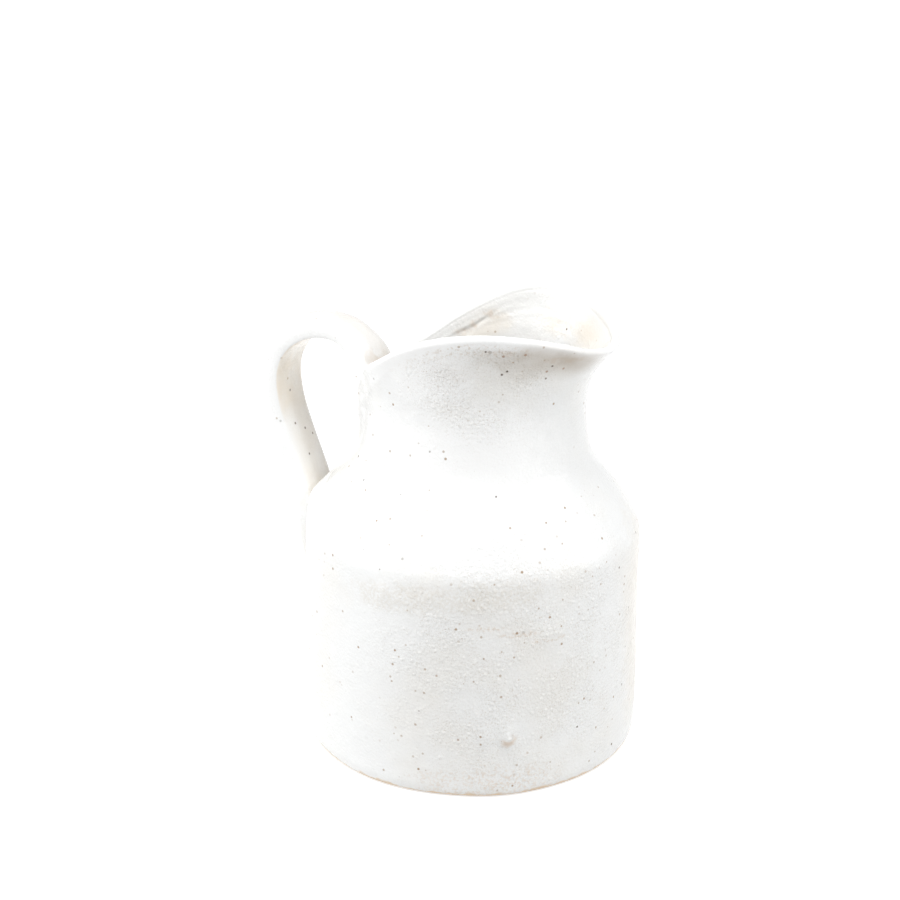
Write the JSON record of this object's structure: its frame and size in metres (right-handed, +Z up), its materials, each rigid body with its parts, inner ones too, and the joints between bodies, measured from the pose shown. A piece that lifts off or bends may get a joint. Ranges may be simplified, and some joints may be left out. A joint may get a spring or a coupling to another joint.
{
  "type": "pouring jug",
  "caption": "Hand-thrown pouring jug with an upright wall, round shoulder, narrow neck, pinched flaring spout and one strap handle.",
  "frame": {"origin": "centre of the flat base, on the surface that the jug stands on", "axes": "+Z up along the jug's axis, +X from the axis towards the spout, with the handle on -X, +Y to the left when looking from the handle to the spout"},
  "size_m": [0.1414, 0.122, 0.1598],
  "materials": {
    "body_glaze": "glossy off-white glaze over iron-speckled stoneware, bare clay at the foot",
    "lip_glaze": "glossy off-white glaze, thin and greyer where it breaks over the rim",
    "handle_glaze": "glossy off-white glaze, creamier where it pools on the strap's underside",
    "lute_glaze": "glossy off-white glaze over smoothed clay, brown where it runs thin at the joint"
  },
  "bodies": {
    "root": {"thrown_body": "body_glaze", "pouring_lip": "lip_glaze", "strap_handle": "handle_glaze", "upper_handle_lute": "lute_glaze", "lower_handle_lute": "lute_glaze"}
  },
  "joints": []
}
